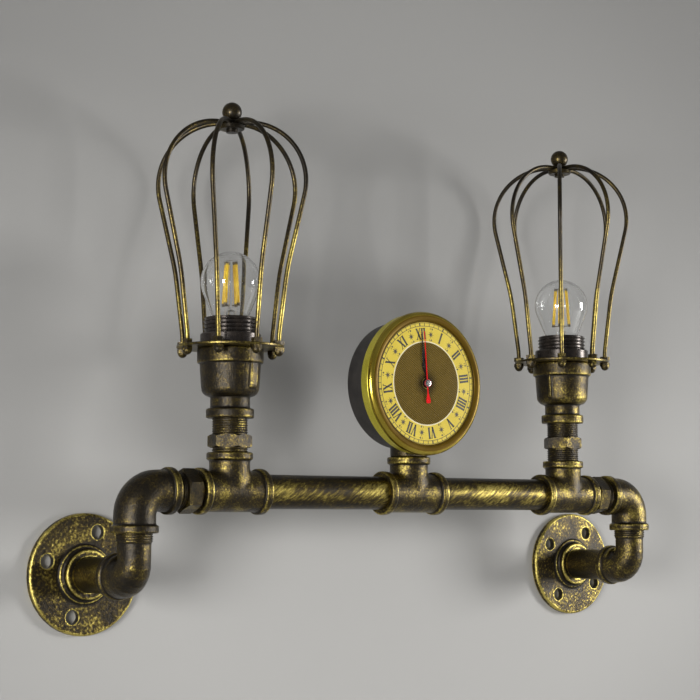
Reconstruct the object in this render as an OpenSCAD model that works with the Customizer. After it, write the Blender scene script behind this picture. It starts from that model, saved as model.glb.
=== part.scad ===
// Two-lamp wall light made from three-quarter-inch pipe fittings, with wire cages and a small clock.
// Millimetres, +Z up, +X along the bar, +Y into the wall. The wall is the plane y = 0 and the
// origin lies on it, midway between the two flanges at the height of their axes.

/* [Layout] */
// Distance of each flange axis from the middle
flange_x = 260; // [256:0.5:266]
// Distance of each lamp axis from the middle
lamp_x = 177; // [171:0.5:179]
// Distance of the bar axis out from the wall
bar_out = 80.5; // [76:0.5:100]
// Height of the bar axis above the flange axes
bar_height = 63.5; // [60:0.5:75]

/* [Pipe and threads] */
// Outside diameter of the bar pipe
pipe_od = 26.9; // [26.6:0.1:27.4]
// Outside diameter of the short pipes at the wall
stub_od = 27.6; // [26.6:0.1:28.4]
// Bore of the pipes and fittings
pipe_bore = 21.6; // [20.6:0.1:22]
// Outside diameter of every pipe thread
thread_od = 26.4; // [26:0.1:26.5]
// Length of thread that is screwed into a fitting
thread_in = 11; // [9:0.5:12]
// Radial clearance of a thread in its socket
thread_gap = 0.1; // [0.05:0.01:0.15]

/* [Cast fittings] */
// Outside diameter of the end bands
band_d = 35.8; // [34.6:0.1:37.4]
// Width of the end bands
band_w = 6; // [5:0.25:7]
// Outside diameter of the cast bodies
body_d = 31.6; // [31:0.1:33]
// Centre to face of a tee
tee_reach = 30; // [29:0.25:31]
// Centre to face of an elbow
elbow_reach = 31.5; // [30:0.25:32]
// Bend radius of an elbow, on its centre line
elbow_bend = 18; // [17:0.25:19]
// Across flats of the hex nipples
hex_af = 30; // [29:0.25:31]

/* [Street elbow] */
// Centre to the face of the female end
street_reach = 27; // [26:0.25:29]
// Diameter of the smooth male leg
street_leg_d = 25; // [24.4:0.1:25.6]
// Diameter of the female end behind its band
street_socket_d = 32.4; // [31.6:0.1:33.2]
// Radius of the outside of the bend
street_outer = 29; // [27.5:0.25:30.5]
// Height of the shoulder where the male thread starts
street_shoulder = 25.5; // [24.5:0.25:26.5]

/* [Wall flange] */
// Diameter of the flange
flange_d = 94; // [90:0.5:98]
// Thickness of the flange plate
flange_t = 6; // [5:0.25:7]
// Diameter of the circle of screw holes
screw_circle_d = 68; // [66:0.5:70]
// Diameter of the screw holes
screw_hole_d = 11; // [8:0.25:12]
// Diameter of the hub
hub_d = 38.4; // [36:0.2:40]
// Height of the hub above the wall
hub_out = 13; // [11:0.5:15]
// Turn of the left flange about its axis
flange_turn_left = 72; // [0:1:90]
// Turn of the right flange about its axis
flange_turn_right = 57; // [0:1:90]

/* [Riser] */
// Length of the hexagon
hex_len = 10; // [9:0.25:12]
// Bare thread between the left tee and the hexagon
riser_low_left = 3.5; // [2:0.5:11]
// Bare thread between the right tee and the hexagon
riser_low_right = 11; // [2:0.5:11]
// Bare thread between the hexagon and the cup
riser_up = 12.6; // [10:0.2:14]

/* [Lamp cup] */
// Height of the cup
cup_h = 54; // [52:0.5:58]
// Diameter of the rim band
cup_rim_d = 51.4; // [50:0.2:53]
// Height of the rim band
cup_rim_h = 11.6; // [10:0.2:13]
// Diameter of the bowl under the rim
cup_body_d = 47.6; // [46.8:0.2:48.4]
// Diameter of the bowl above its round bottom
cup_low_d = 45; // [44:0.2:46]
// Radius of the round bottom
cup_round = 7; // [6:0.25:8]
// Diameter of the neck
cup_neck_d = 30.7; // [30:0.1:32]
// Diameter of the lower band
cup_band_d = 37.2; // [35:0.2:38]
// Height of the lower band
cup_band_h = 7.4; // [6:0.2:8.4]
// Height where the bowl starts
cup_bowl_z = 16.6; // [15.6:0.2:18]
// Width of the cast ribs on the left cup
rib_w_left = 8; // [3:0.5:9]
// Width of the cast ribs on the right cup
rib_w_right = 3; // [2:0.5:9]

/* [Lampholder] */
// Diameter of the outer thread
holder_d = 39.8; // [39:0.1:40.4]
// Height of the holder above the cup
holder_top = 24; // [22:0.5:27]
// Diameter of the ring nut that holds the cage
ring_d = 47; // [45:0.2:49]
// Height of the ring nut
ring_h = 9.4; // [7:0.2:10.4]
// Bore of the screw shell
shell_bore = 26.8; // [26.6:0.1:27.2]

/* [Bulb] */
// Diameter of the globe
bulb_d = 47; // [44:0.2:49]
// Height of the top of the globe above the cup
bulb_top = 75.5; // [72:0.5:78]
// Diameter of the bulb's screw cap
cap_d = 26; // [25.6:0.1:26.1]
// How far a bulb comes up when it is screwed out
bulb_travel = 30; // [24:1:60]

/* [Cage] */
// Thickness of the wires
wire_d = 3.6; // [3:0.1:4]
// Number of wires
wire_count = 8; // [6:1:8]
// Distance of the wire feet in from the edge of the plate
foot_inset = 3.5; // [3:0.25:5]
// Largest radius of the cage
cage_belly_r = 59.3; // [56:0.1:62]
// Height of the largest radius above the cup
cage_belly_z = 129.5; // [122:0.5:134]
// Height above the cup where the wires start to flare
cage_knee_z = 61; // [54:1:70]
// Slope of the wires below that height, as a share of the slope from foot to belly
cage_lean_share = 0.73; // [0.6:0.01:0.85]
// Bend radius where the wires start to flare
cage_knee_bend = 200; // [120:10:260]
// Bend radius below the largest radius
cage_waist_bend = 50; // [40:1:60]
// Thickness of the base plate
plate_t = 2; // [1.5:0.1:2.5]
// Diameter of the base plate
plate_d = 83.5; // [82:0.5:86]
// Diameter of the ball on top
ball_d = 15.5; // [13:0.5:17]
// Turn of the left cage
cage_turn_left = 43; // [0:1:45]
// Turn of the right cage
cage_turn_right = 1; // [0:1:45]

/* [Clock] */
// Height of the clock centre above the bar axis
clock_up = 90; // [89.5:0.5:96]
// Outside diameter of the bezel
bezel_d = 118.8; // [116:0.2:119.4]
// Outside diameter of the drum case
drum_d = 106; // [104:0.2:107]
// Wall thickness of the drum case
drum_t = 1.6; // [1.2:0.1:2]
// Distance of the drum's back behind the bar axis
drum_back = 16; // [14:0.5:18]
// Depth of the visible drum
drum_depth = 26.5; // [24:0.5:28]
// Diameter of the opening in the back
back_hole_d = 76; // [72:0.5:80]
// Diameter of the minute track on the dial
track_d = 100.4; // [96:0.2:101]
// Turn of the dial and hands about the clock's axis
clock_turn = 8; // [-15:1:15]
// Length of the minute hand
minute_len = 41; // [36:0.5:43]
// Length of the hour hand
hour_len = 29; // [24:0.5:31]
// Length of the second hand
second_len = 43; // [38:0.5:45]

/* [Wiring] */
// Diameter of the two-core leads
lead_d = 5; // [4:0.25:5.5]

/* [Hidden] */
$fn = 64;

// Colours
bronze = [0.30, 0.26, 0.15];
bronze_dark = [0.19, 0.17, 0.13];
rubbed_brass = [0.62, 0.54, 0.24];
clock_brass = [0.70, 0.60, 0.18];
bakelite = [0.13, 0.13, 0.14];
nickel = [0.72, 0.72, 0.70];
clear_glass = [0.85, 0.90, 0.92, 0.35];
amber = [0.90, 0.68, 0.12];
dial_gold = [0.87, 0.77, 0.38];
movement_grey = [0.16, 0.16, 0.17];

// General clearances
seat = 0.02;
slip = 0.1;
edge = 0.8;

// Fittings
socket_r = thread_od / 2 + thread_gap;
socket_depth = thread_in + 1;
nipple_bore = 19;
hex_across = hex_af / cos(30);
bar_nipple_hex = 12;
bar_nipple_tee_side = 2.4;
bar_nipple_turn_left = 8;
bar_nipple_turn_right = 15;
riser_turn_left = 20;
riser_turn_right = -1;
tee_top = bar_height + tee_reach;
stub_face = bar_out - street_reach;
stub_wall_end = 1.5;
loft_steps = 6;
loft_fn = 40;
loft_t = 0.02;

// Flange
hub_foot_d = hub_d + 7;
hub_foot_h = 1.4;
hub_fillet = 2.2;

// Cup and holder heights, from the foot of the cup and from its rim
cup_bore_r = holder_d / 2 + 0.9;
cup_wall_floor = cup_bowl_z + 4.4;
holder_in_cup = 22;
holder_foot_r = cup_bore_r - slip;
holder_bore_r = shell_bore / 2 + 0.8;
shell_foot = -6;
shell_rim = 20;
contact_floor = -9;
cable_hole_d = lead_d + 1.4;

// Bulb heights from the rim of the cup
bulb_r = bulb_d / 2;
bulb_centre = bulb_top - bulb_r;
glass_t = 0.8;
neck_angle = 22;
cap_foot = -0.5;
cap_tip = -4;
cap_t = 0.9;
neck_r = cap_d / 2 - cap_t - slip;
neck_top = bulb_centre - bulb_r * sin(neck_angle) - (bulb_r * cos(neck_angle) - neck_r) / tan(neck_angle);
cap_rim = neck_top - 0.4;
neck_foot = 13;
filament_count = 4;
filament_d = 2.6;
filament_low = [7.2, 33];
filament_high = [4.6, 67.5];
filament_turn = 22;
support_d = 0.7;
rod_d = 3;

// Cage
wire_r = wire_d / 2;
cage_foot_r = plate_d / 2 - foot_inset;
crown_d = 20;
crown_t = 3.5;
crown_run = 11.5;
top_bend = cage_belly_r - crown_run;
cage_top_z = cage_belly_z + top_bend;
wire_end_r = wire_r / sin(180 / wire_count) + 0.35;
foot_bend = 60;
foot_z = plate_t + 4;
cage_lean = cage_lean_share * atan((cage_belly_r - cage_foot_r) / (cage_belly_z - foot_z));
lean_r = cage_foot_r + foot_bend * (1 - cos(cage_lean));
lean_z = foot_z + foot_bend * sin(cage_lean);
knee_r = lean_r + (cage_knee_z - lean_z) * tan(cage_lean);
waist_dr = cage_belly_r - cage_waist_bend - knee_r;
waist_dz = cage_belly_z - cage_knee_z;
cage_taper = atan2(waist_dr, waist_dz) + asin(cage_waist_bend / norm([waist_dr, waist_dz]));
knee_cut = cage_knee_bend * tan((cage_taper - cage_lean) / 2);
taper_r = knee_r + knee_cut * sin(cage_taper);
taper_z = cage_knee_z + knee_cut * cos(cage_taper);
waist_r = cage_belly_r - cage_waist_bend * (1 - cos(cage_taper));
waist_z = cage_belly_z - cage_waist_bend * sin(cage_taper);
nut_af = 7.4;
nut_h = 3.4;
acorn_h = 3.2;
wire_below = 3.4;
bead = 0.03;
stud_d = 5;
collar_d = 9;
ball_up = ball_d / 2 + 0.9;

// Clock, distances from the wall along its axis
clock_z = bar_height + clock_up;
drum_r = drum_d / 2;
bezel_r = bezel_d / 2;
case_back = bar_out - drum_back;
bezel_back = case_back + drum_depth;
bezel_ring_t = 8.8;
bezel_groove = 1.2;
bezel_rim_t = 5;
ring_front = bezel_back + bezel_ring_t;
rim_back = ring_front + bezel_groove;
bezel_front = rim_back + bezel_rim_t;
bezel_round = 4.4;
dial_r = bezel_r - 3.4;
dial_t = 1;
dial_front = bezel_front - 2.2;
dial_back = dial_front - dial_t;
ledge_r = track_d / 2 + 0.3;
lens_r = ledge_r + 0.8;
lens_seat = dial_front + 0.6;
lens_edge = 0.6;
lens_sag = 5;
lens_t = 1;
dial_hole_d = 8.4;
dial_ledge = 1.5;
move_w = 56;
move_t = 16;
move_back = dial_back - move_t;
bush_d = 8;
bush_front = dial_front + 0.15;
tube_d = 5.2;
arbor_d = 3.2;
pin_d = 1.5;
run_fit = 0.08;
hand_t = 0.35;
hand_step = 0.15;
hour_at = bush_front + hand_step;
minute_at = hour_at + hand_t + hand_step;
second_at = minute_at + hand_t + hand_step;
hand_cap_d = 6.4;
hand_cap_t = 0.9;
battery_d = 14.2;
battery_len = 48.6;
battery_tip = 1.6;
battery_drop = 16;
battery_room = 0.6;
knob_d = 12;
knob_t = 4;
knob_gap = 0.4;
stem_collar_d = 30.8;

// Leads
lead_side = lead_d / 2 - 0.3;
lead_tee_bend = 12;
street_bore_bend = 16;
lead_start = 16;

// Places one copy of a lamp piece on its axis, with z = 0 at the rim of the cup
function riser_low(side) = side < 0 ? riser_low_left : riser_low_right;
function cup_foot(side) = tee_top + riser_low(side) + hex_len + riser_up;
function cup_rim(side) = cup_foot(side) + cup_h;
function arc(cx, cy, r, a0, a1, n) = [for (i = [0 : n]) let (a = a0 + (a1 - a0) * i / n)
    [cx + r * cos(a), cy + r * sin(a)]];

module on_lamp(side) {
    translate([side * lamp_x, -bar_out, cup_rim(side)]) children();
}

module on_tee(side) {
    translate([side * lamp_x, -bar_out, bar_height]) children();
}

module mirror_side(side) {
    mirror([side > 0 ? 1 : 0, 0, 0]) children();
}

// Turns local z to point out of the wall and local y to point up
module out_of_wall() {
    rotate([90, 0, 0]) children();
}

module on_clock() {
    translate([0, 0, clock_z]) out_of_wall() children();
}

module turned_clock() {
    on_clock() rotate([0, 0, clock_turn]) children();
}

// End band of a cast fitting, from z = 0 down into the body
module band(d, w) {
    translate([0, 0, -w]) rotate_extrude()
        polygon([[0, 0], [d / 2 - edge, 0], [d / 2, edge], [d / 2, w - edge], [d / 2 - edge, w], [0, w]]);
}

// Pipe or nipple end that is screwed into a fitting, from z = 0 upwards
module thread_end(len) {
    rotate_extrude() polygon([[0, 0], [thread_od / 2 - edge, 0], [thread_od / 2, edge],
        [thread_od / 2, len], [0, len]]);
}

module socket(depth) {
    translate([0, 0, -depth]) cylinder(r = socket_r, h = depth + 1);
}

module quarter_bend(bend, d) {
    rotate_extrude(angle = 90, start = 90) translate([bend, 0]) circle(d = d);
}

// Wall flange, hub towards the viewer
module flange_shape(turn) {
    difference() {
        rotate_extrude() polygon(concat(
            [[0, 0], [flange_d / 2 - edge / 2, 0], [flange_d / 2, edge / 2],
                [flange_d / 2, flange_t - 1.4], [flange_d / 2 - 0.5, flange_t - 0.5],
                [flange_d / 2 - 1.6, flange_t]],
            [[hub_foot_d / 2 + 0.8, flange_t], [hub_foot_d / 2, flange_t + 0.5],
                [hub_foot_d / 2 - 0.8, flange_t + hub_foot_h]],
            arc(hub_d / 2 + hub_fillet, flange_t + hub_foot_h + hub_fillet, hub_fillet, 270, 180, 6),
            [[hub_d / 2, hub_out - edge], [hub_d / 2 - edge, hub_out], [0, hub_out]]));
        translate([0, 0, -1]) cylinder(r = socket_r, h = hub_out + 2);
        for (i = [0 : 3])
            rotate([0, 0, turn + 90 * i])
                translate([screw_circle_d / 2, 0, -1])
                    cylinder(d = screw_hole_d, h = flange_t + 2);
    }
}

module flange_on(side, turn) {
    translate([side * flange_x, 0, 0]) out_of_wall() flange_shape(turn);
}

module flange_left() {
    color(bronze) flange_on(-1, flange_turn_left);
}

module flange_right() {
    color(bronze) flange_on(1, flange_turn_right);
}

// A length of pipe with a thread at both ends, along z from 0
module threaded_pipe(len, od, end_a, end_b) {
    difference() {
        union() {
            thread_end(end_a);
            translate([0, 0, end_a]) cylinder(d = od, h = len - end_a - end_b);
            translate([0, 0, len]) mirror([0, 0, 1]) thread_end(end_b);
        }
        translate([0, 0, -1]) cylinder(d = pipe_bore, h = len + 2);
    }
}

module stub_on(side) {
    translate([side * flange_x, 0, 0])
        out_of_wall()
            translate([0, 0, stub_wall_end])
                threaded_pipe(stub_face + thread_in - stub_wall_end, stub_od,
                    hub_out + seat - stub_wall_end, thread_in + seat);
}

module stub_pipe_left() {
    color(bronze_dark) stub_on(-1);
}

module stub_pipe_right() {
    color(bronze_dark) stub_on(1);
}

// One section of the lofted bend, t = 0 at the leg and 90 at the female end
module street_section(t) {
    r0 = street_leg_d / 2;
    r1 = street_socket_d / 2;
    r = r0 + (r1 - r0) * t / 90;
    translate([0, street_outer - r0, street_outer - r1])
        rotate([t, 0, 0])
            translate([0, r - street_outer, -loft_t / 2])
                cylinder(r = r, h = loft_t, $fn = loft_fn);
}

// Street elbow: female end along +y to the wall, male leg up
module street_elbow_shape() {
    r0 = street_leg_d / 2;
    r1 = street_socket_d / 2;
    leg_z = street_outer - r1;
    socket_y = street_outer - r0;
    thread_top = bar_height - elbow_reach + thread_in;
    difference() {
        union() {
            for (i = [0 : loft_steps - 1])
                hull() {
                    street_section(90 * i / loft_steps);
                    street_section(90 * (i + 1) / loft_steps);
                }
            translate([0, 0, leg_z]) cylinder(r = r0, h = street_shoulder - leg_z);
            translate([0, 0, thread_top]) mirror([0, 0, 1]) thread_end(thread_top - street_shoulder);
            translate([0, socket_y, 0]) rotate([-90, 0, 0]) cylinder(r = r1, h = street_reach - socket_y);
            translate([0, street_reach, 0]) rotate([-90, 0, 0]) band(band_d, band_w);
        }
        translate([0, street_bore_bend, street_bore_bend])
            rotate([0, 0, 90])
                rotate([90, 0, 0])
                    rotate_extrude(angle = 90, start = 180)
                        translate([street_bore_bend, 0])
                            circle(d = nipple_bore);
        translate([0, 0, street_bore_bend]) cylinder(d = nipple_bore, h = thread_top);
        translate([0, street_bore_bend, 0]) rotate([-90, 0, 0]) cylinder(d = nipple_bore, h = street_reach);
        translate([0, street_reach, 0]) rotate([-90, 0, 0]) socket(socket_depth);
    }
}

module street_on(side) {
    translate([side * flange_x, -bar_out, 0]) street_elbow_shape();
}

module street_elbow_left() {
    color(bronze_dark) street_on(-1);
}

module street_elbow_right() {
    color(bronze) street_on(1);
}

// Solid of an elbow with arms along +x and -z
module elbow_solid(d) {
    translate([elbow_bend, 0, -elbow_bend]) rotate([90, 0, 0]) quarter_bend(elbow_bend, d);
    translate([elbow_bend, 0, 0]) rotate([0, 90, 0]) cylinder(d = d, h = elbow_reach - elbow_bend);
    translate([0, 0, -elbow_reach]) cylinder(d = d, h = elbow_reach - elbow_bend);
}

module elbow_shape() {
    difference() {
        union() {
            elbow_solid(body_d);
            translate([elbow_reach, 0, 0]) rotate([0, 90, 0]) band(band_d, band_w);
            translate([0, 0, -elbow_reach]) rotate([180, 0, 0]) band(band_d, band_w);
        }
        elbow_solid(pipe_bore);
        translate([elbow_reach, 0, 0]) rotate([0, 90, 0]) socket(socket_depth);
        translate([0, 0, -elbow_reach]) rotate([180, 0, 0]) socket(socket_depth);
    }
}

module elbow_on(side) {
    mirror_side(side) translate([-flange_x, -bar_out, bar_height]) elbow_shape();
}

module elbow_left() {
    color(bronze_dark) elbow_on(-1);
}

module elbow_right() {
    color(bronze_dark) elbow_on(1);
}

// Hex nipple along z: thread, hexagon with chamfered corners, thread
module hex_nipple(low, hex, up) {
    difference() {
        union() {
            thread_end(low);
            intersection() {
                translate([0, 0, low]) cylinder(d = hex_across, h = hex, $fn = 6);
                translate([0, 0, low]) rotate_extrude()
                    polygon([[0, 0], [hex_af / 2, 0], [hex_across / 2, 1.2], [hex_across / 2, hex - 1.2],
                        [hex_af / 2, hex], [0, hex]]);
            }
            translate([0, 0, low + hex + up]) mirror([0, 0, 1]) thread_end(up);
        }
        translate([0, 0, -1]) cylinder(d = nipple_bore, h = low + hex + up + 2);
    }
}

module bar_nipple_on(side, turn) {
    elbow_face = flange_x - elbow_reach;
    tee_face = lamp_x + tee_reach;
    elbow_side = elbow_face - tee_face - bar_nipple_hex - bar_nipple_tee_side;
    mirror_side(side)
        translate([-elbow_face - thread_in, -bar_out, bar_height])
            rotate([0, 90, 0])
                rotate([0, 0, turn])
                    hex_nipple(thread_in + elbow_side, bar_nipple_hex, thread_in + bar_nipple_tee_side);
}

module bar_nipple_left() {
    color(bronze_dark) bar_nipple_on(-1, bar_nipple_turn_left);
}

module bar_nipple_right() {
    color(bronze_dark) bar_nipple_on(1, bar_nipple_turn_right);
}

// Tee with its run along x and its branch up
module tee_shape() {
    difference() {
        union() {
            translate([-tee_reach, 0, 0]) rotate([0, 90, 0]) cylinder(d = body_d, h = 2 * tee_reach);
            cylinder(d = body_d, h = tee_reach);
            translate([tee_reach, 0, 0]) rotate([0, 90, 0]) band(band_d, band_w);
            translate([-tee_reach, 0, 0]) rotate([0, -90, 0]) band(band_d, band_w);
            translate([0, 0, tee_reach]) band(band_d, band_w);
        }
        translate([-tee_reach - 1, 0, 0]) rotate([0, 90, 0]) cylinder(d = pipe_bore, h = 2 * tee_reach + 2);
        cylinder(d = pipe_bore, h = tee_reach + 1);
        translate([tee_reach, 0, 0]) rotate([0, 90, 0]) socket(socket_depth);
        translate([-tee_reach, 0, 0]) rotate([0, -90, 0]) socket(socket_depth);
        translate([0, 0, tee_reach]) socket(socket_depth);
    }
}

module tee_left() {
    color(bronze) on_tee(-1) tee_shape();
}

module tee_middle() {
    color(bronze) on_tee(0) tee_shape();
}

module tee_right() {
    color(bronze) on_tee(1) tee_shape();
}

module bar_pipe_on(side) {
    len = lamp_x - 2 * tee_reach + 2 * thread_in;
    mirror_side(side)
        translate([-lamp_x + tee_reach - thread_in, -bar_out, bar_height])
            rotate([0, 90, 0])
                threaded_pipe(len, pipe_od, thread_in + seat, thread_in + seat);
}

module bar_pipe_left() {
    color(bronze) bar_pipe_on(-1);
}

module bar_pipe_right() {
    color(bronze) bar_pipe_on(1);
}

// The same nipple on both sides, screwed into its tee to a different depth
module riser_on(side, turn) {
    longest = max(riser_low_left, riser_low_right);
    in_tee = riser_low(side) == longest ? 4.5 : min(thread_in, longest + 4.5 - riser_low(side));
    translate([side * lamp_x, -bar_out, tee_top - in_tee])
        rotate([0, 0, turn])
            hex_nipple(in_tee + riser_low(side), hex_len, riser_up + thread_in);
}

module riser_nipple_left() {
    color(rubbed_brass) riser_on(-1, riser_turn_left);
}

module riser_nipple_right() {
    color(rubbed_brass) riser_on(1, riser_turn_right);
}

// Reducing socket that forms the lamp cup, z = 0 at its rim
module cup_shape(rib_w, rib_turn) {
    low_r = cup_low_d / 2;
    body_r = cup_body_d / 2;
    rim_r = cup_rim_d / 2;
    rim_z = cup_h - cup_rim_h;
    neck = cup_neck_d / 2;
    foot = cup_band_d / 2;
    inner_round = 4;
    translate([0, 0, -cup_h]) {
        rotate_extrude() polygon(concat(
            [[socket_r, 0], [foot - edge, 0], [foot, edge], [foot, cup_band_h - edge],
                [foot - edge, cup_band_h], [neck, cup_band_h], [neck, cup_bowl_z - 1],
                [neck + 0.3, cup_bowl_z - 0.3], [neck + 1, cup_bowl_z]],
            arc(low_r - cup_round, cup_bowl_z + cup_round, cup_round, 270, 360, 8),
            [[body_r, rim_z], [rim_r - edge / 2, rim_z], [rim_r, rim_z + edge], [rim_r, cup_h - edge],
                [rim_r - edge, cup_h], [cup_bore_r, cup_h]],
            arc(cup_bore_r - inner_round, cup_wall_floor + inner_round, inner_round, 360, 270, 6),
            [[pipe_bore / 2, cup_wall_floor], [pipe_bore / 2, socket_depth], [socket_r, socket_depth]]));
        for (i = [0 : 1])
            rotate([0, 0, rib_turn + 180 * i])
                translate([0, rib_w / 2, 0])
                    rotate([90, 0, 0])
                        linear_extrude(rib_w)
                            polygon([[cup_bore_r + 0.5, cup_bowl_z + cup_round - 1],
                                [low_r + 0.5, cup_bowl_z + cup_round - 1],
                                [low_r + 1.2, cup_bowl_z + cup_round + 1],
                                [body_r + 1.1, rim_z + 0.5], [cup_bore_r + 0.5, rim_z + 0.5]]);
    }
}

module lamp_cup_left() {
    color(bronze) on_lamp(-1) cup_shape(rib_w_left, -72);
}

module lamp_cup_right() {
    color(bronze) on_lamp(1) cup_shape(rib_w_right, -162);
}

// Lampholder body with its outer thread sleeve
module holder_shape() {
    sleeve_r = holder_d / 2;
    difference() {
        rotate_extrude() polygon([[0, -holder_in_cup], [holder_foot_r - edge, -holder_in_cup],
            [holder_foot_r, edge - holder_in_cup], [holder_foot_r, -seat], [sleeve_r, -seat],
            [sleeve_r, holder_top - edge], [sleeve_r - edge, holder_top],
            [holder_bore_r + edge, holder_top], [holder_bore_r, holder_top - edge],
            [holder_bore_r, contact_floor], [0, contact_floor]]);
        translate([6.5, 0, -holder_in_cup - 1]) cylinder(d = cable_hole_d, h = holder_in_cup);
    }
}

module holder_left() {
    color(bakelite) on_lamp(-1) holder_shape();
}

module holder_right() {
    color(bakelite) on_lamp(1) holder_shape();
}

// Threaded metal shell that takes the bulb's cap
module shell_shape() {
    translate([0, 0, shell_foot]) difference() {
        cylinder(r = holder_bore_r - seat, h = shell_rim - shell_foot);
        translate([0, 0, -1]) cylinder(d = shell_bore, h = shell_rim - shell_foot + 2);
    }
}

module holder_shell_left() {
    color(nickel) on_lamp(-1) shell_shape();
}

module holder_shell_right() {
    color(nickel) on_lamp(1) shell_shape();
}

// Sprung centre contact on the floor of the holder
module contact_shape() {
    rotate_extrude() polygon([[0, contact_floor + seat], [6, contact_floor + seat],
        [6, contact_floor + 1.2], [3.4, contact_floor + 2.6], [3, cap_tip - 0.4], [0, cap_tip - 0.4]]);
}

module holder_contact_left() {
    color(rubbed_brass) on_lamp(-1) contact_shape();
}

module holder_contact_right() {
    color(rubbed_brass) on_lamp(1) contact_shape();
}

// Ring nut that clamps the cage's plate on the cup
module ring_nut_shape() {
    translate([0, 0, plate_t + seat]) rotate_extrude()
        polygon([[holder_d / 2 + slip, 0], [ring_d / 2 - edge, 0], [ring_d / 2, edge],
            [ring_d / 2, ring_h - edge], [ring_d / 2 - edge, ring_h], [holder_d / 2 + slip, ring_h]]);
}

module ring_nut_left() {
    color(bakelite) on_lamp(-1) ring_nut_shape();
}

module ring_nut_right() {
    color(bakelite) on_lamp(1) ring_nut_shape();
}

module around_cage(turn) {
    for (i = [0 : wire_count - 1])
        rotate([0, 0, turn + 360 * i / wire_count]) children();
}

module plate_shape(turn) {
    difference() {
        rotate_extrude() polygon([[holder_d / 2 + slip, seat], [plate_d / 2 - 0.4, seat],
            [plate_d / 2, 0.4], [plate_d / 2, plate_t - 0.4], [plate_d / 2 - 0.4, plate_t],
            [holder_d / 2 + slip, plate_t]]);
        around_cage(turn)
            translate([cage_foot_r, 0, -1]) cylinder(r = wire_r + slip, h = plate_t + 2, $fn = 32);
    }
}

module cage_plate_left() {
    color(bronze) on_lamp(-1) plate_shape(cage_turn_left);
}

module cage_plate_right() {
    color(bronze) on_lamp(1) plate_shape(cage_turn_right);
}

// Part of a wire that bends about a centre in the plane of radius and height
module wire_arc(cr, cz, bend, from, turn) {
    translate([cr, 0, cz])
        rotate([90, 0, 0])
            rotate_extrude(angle = turn, start = from, $fn = 96)
                translate([bend, 0])
                    circle(r = wire_r, $fn = 20);
}

// Straight part of a wire from a point, sloping outward as it rises
module wire_run(r, z, slope, length) {
    translate([r, 0, z]) rotate([0, slope, 0]) cylinder(r = wire_r, h = length, $fn = 20);
}

// Fills the joint between two parts of a wire
module wire_joint(r, z) {
    translate([r, 0, z]) sphere(r = wire_r + bead, $fn = 24);
}

// One balloon wire: run on the crown, round shoulder, belly, flare, knee, leaning leg, straight foot
module cage_wire() {
    knee_turn = cage_taper - cage_lean;
    leg_r = knee_r - knee_cut * sin(cage_lean);
    leg_z = cage_knee_z - knee_cut * cos(cage_lean);
    translate([wire_end_r, 0, cage_top_z])
        rotate([0, 90, 0])
            cylinder(r = wire_r, h = crown_run - wire_end_r, $fn = 20);
    wire_arc(crown_run, cage_belly_z, top_bend, 0, 90);
    wire_arc(cage_belly_r - cage_waist_bend, cage_belly_z, cage_waist_bend, 360 - cage_taper, cage_taper);
    wire_joint(cage_belly_r, cage_belly_z);
    wire_joint(waist_r, waist_z);
    wire_run(taper_r, taper_z, cage_taper, norm([waist_r - taper_r, waist_z - taper_z]));
    wire_joint(taper_r, taper_z);
    wire_arc(leg_r + cage_knee_bend * cos(cage_lean), leg_z - cage_knee_bend * sin(cage_lean),
        cage_knee_bend, 180 - cage_taper, knee_turn);
    wire_joint(leg_r, leg_z);
    wire_run(lean_r, lean_z, cage_lean, norm([leg_r - lean_r, leg_z - lean_z]));
    wire_joint(lean_r, lean_z);
    wire_arc(cage_foot_r + foot_bend, foot_z, foot_bend, 180 - cage_lean, cage_lean);
    wire_joint(cage_foot_r, foot_z);
    translate([cage_foot_r, 0, -wire_below]) cylinder(r = wire_r, h = foot_z + wire_below, $fn = 20);
}

module cage_wires_left() {
    color(bronze) on_lamp(-1) around_cage(cage_turn_left) cage_wire();
}

module cage_wires_right() {
    color(bronze) on_lamp(1) around_cage(cage_turn_right) cage_wire();
}

// Hex nut above the plate and acorn nut below it
module foot_nuts() {
    across = nut_af / cos(30);
    dome_r = nut_af / 2 - 0.1;
    difference() {
        translate([0, 0, plate_t + seat]) cylinder(d = across, h = nut_h, $fn = 6);
        cylinder(r = wire_r + slip, h = plate_t + nut_h + 2, $fn = 32);
    }
    difference() {
        union() {
            translate([0, 0, -acorn_h]) cylinder(d = across, h = acorn_h, $fn = 6);
            translate([0, 0, -acorn_h]) sphere(r = dome_r);
        }
        translate([0, 0, -wire_below - slip]) cylinder(r = wire_r + slip, h = wire_below + 1, $fn = 32);
    }
}

module cage_nuts_left() {
    color(rubbed_brass) on_lamp(-1) around_cage(cage_turn_left) translate([cage_foot_r, 0, 0]) foot_nuts();
}

module cage_nuts_right() {
    color(rubbed_brass) on_lamp(1) around_cage(cage_turn_right) translate([cage_foot_r, 0, 0]) foot_nuts();
}

// Disc under the wires at the top
module crown_shape() {
    translate([0, 0, cage_top_z - wire_r - seat - crown_t]) difference() {
        rotate_extrude() polygon([[0, 0], [crown_d / 2 - edge, 0], [crown_d / 2, edge],
            [crown_d / 2, crown_t], [0, crown_t]]);
        translate([0, 0, -1]) cylinder(d = stud_d + 2 * slip, h = crown_t + 2);
    }
}

module cage_crown_left() {
    color(bronze) on_lamp(-1) crown_shape();
}

module cage_crown_right() {
    color(bronze) on_lamp(1) crown_shape();
}

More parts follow.
